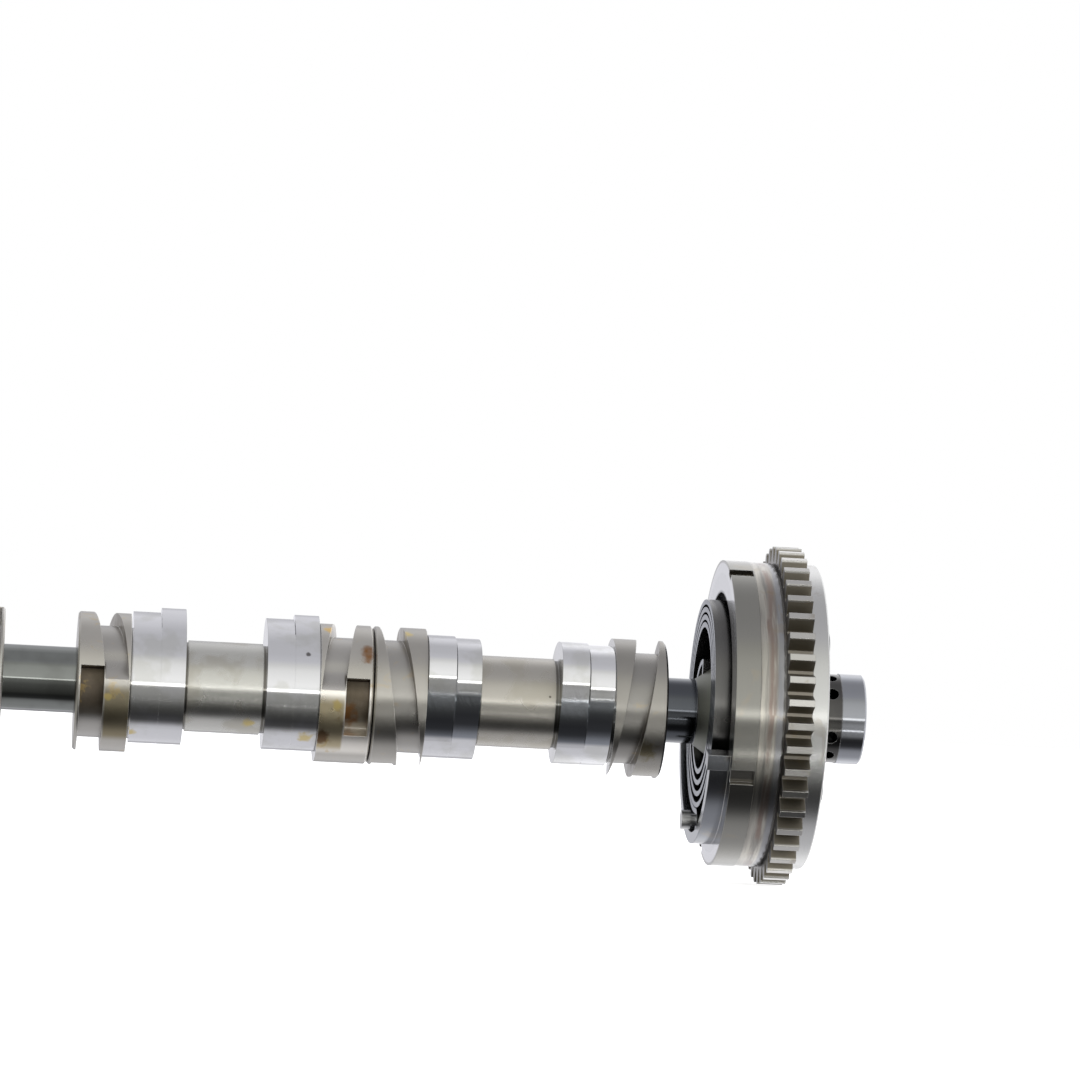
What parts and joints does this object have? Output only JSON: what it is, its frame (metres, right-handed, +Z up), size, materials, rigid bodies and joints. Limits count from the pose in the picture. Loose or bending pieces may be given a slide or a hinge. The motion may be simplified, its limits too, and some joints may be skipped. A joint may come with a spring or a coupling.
{
  "type": "camshaft",
  "caption": "Camshaft with sliding cam pieces on a splined shaft, each lobe pair with a low and a high profile, and a vane phaser with a chain sprocket and oil valve at its nose.",
  "frame": {"origin": "centre of the nose journal, on the shaft's axis", "axes": "+X along the shaft towards the nose, +Z up, -Y towards the picture's camera"},
  "size_m": [0.4141, 0.0934, 0.0936],
  "materials": {
    "cam_steel": "ground and polished lobes, satin journal, oil-stained grooves",
    "bright_steel": "turned and ground",
    "dark_steel": "dark, polished",
    "sprocket_steel": "turned, with brown oil in the tooth gaps",
    "phaser_steel": "turned, with tan oil streaks",
    "spring_steel": "blue-grey, bright edges",
    "inner_steel": "sintered or ground",
    "seal": "dark filled plastic"
  },
  "bodies": {
    "shaft": {"base_shaft": "dark_steel", "rotor": "inner_steel", "valve_body": "bright_steel", "valve_retaining_ring": "dark_steel", "vane_seals": "seal", "vane_seal_springs": "spring_steel", "return_spring": "spring_steel", "lock_pin_spring": "spring_steel", "valve_spring": "spring_steel", "detent_spring_1": "spring_steel", "detent_spring_2": "spring_steel", "detent_spring_3": "spring_steel", "detent_spring_4": "spring_steel"},
    "phaser_case": {"stator_sprocket": "sprocket_steel", "rear_cover": "phaser_steel", "front_cover": "phaser_steel", "cover_screws": "dark_steel", "lock_bush": "inner_steel", "spring_anchor_pin": "dark_steel"},
    "lock_pin": {"lock_pin": "inner_steel"},
    "valve_spool": {"valve_spool": "inner_steel"},
    "cam_piece_1": {"cam_piece_1": "cam_steel"},
    "detent_ball_1": {"detent_ball_1": "inner_steel"},
    "cam_piece_2": {"cam_piece_2": "cam_steel"},
    "detent_ball_2": {"detent_ball_2": "inner_steel"},
    "cam_piece_3": {"cam_piece_3": "cam_steel"},
    "detent_ball_3": {"detent_ball_3": "inner_steel"},
    "cam_piece_4": {"cam_piece_4": "cam_steel"},
    "detent_ball_4": {"detent_ball_4": "inner_steel"}
  },
  "joints": [
    {"name": "cam_piece_1_slide", "type": "slide", "parent": "shaft", "child": "cam_piece_1", "axis": [1, 0, 0], "range_m": [0, 0.007]},
    {"name": "cam_piece_2_slide", "type": "slide", "parent": "shaft", "child": "cam_piece_2", "axis": [1, 0, 0], "range_m": [-0.007, 0]},
    {"name": "cam_piece_3_slide", "type": "slide", "parent": "shaft", "child": "cam_piece_3", "axis": [1, 0, 0], "range_m": [0, 0.007]},
    {"name": "cam_piece_4_slide", "type": "slide", "parent": "shaft", "child": "cam_piece_4", "axis": [1, 0, 0], "range_m": [-0.007, 0]},
    {"name": "detent_ball_1_slide", "type": "slide", "parent": "shaft", "child": "detent_ball_1", "axis": [0, 0, 1], "range_m": [0, 0.00055], "deforming": ["detent_spring_1"]},
    {"name": "detent_ball_2_slide", "type": "slide", "parent": "shaft", "child": "detent_ball_2", "axis": [0, 0, 1], "range_m": [0, 0.00055], "deforming": ["detent_spring_2"]},
    {"name": "detent_ball_3_slide", "type": "slide", "parent": "shaft", "child": "detent_ball_3", "axis": [0, 0, 1], "range_m": [0, 0.00055], "deforming": ["detent_spring_3"]},
    {"name": "detent_ball_4_slide", "type": "slide", "parent": "shaft", "child": "detent_ball_4", "axis": [0, 0, 1], "range_m": [0, 0.00055], "deforming": ["detent_spring_4"]},
    {"name": "phaser_turn", "type": "hinge", "parent": "shaft", "child": "phaser_case", "pos_m": [0, 0, 0], "axis": [1, 0, 0], "range_deg": [0, 25], "deforming": ["return_spring"]},
    {"name": "lock_pin_slide", "type": "slide", "parent": "shaft", "child": "lock_pin", "axis": [1, 0, 0], "range_m": [-0.0028, 0], "deforming": ["lock_pin_spring"]},
    {"name": "valve_spool_slide", "type": "slide", "parent": "shaft", "child": "valve_spool", "axis": [1, 0, 0], "range_m": [-0.003, 0], "deforming": ["valve_spring"]}
  ]
}
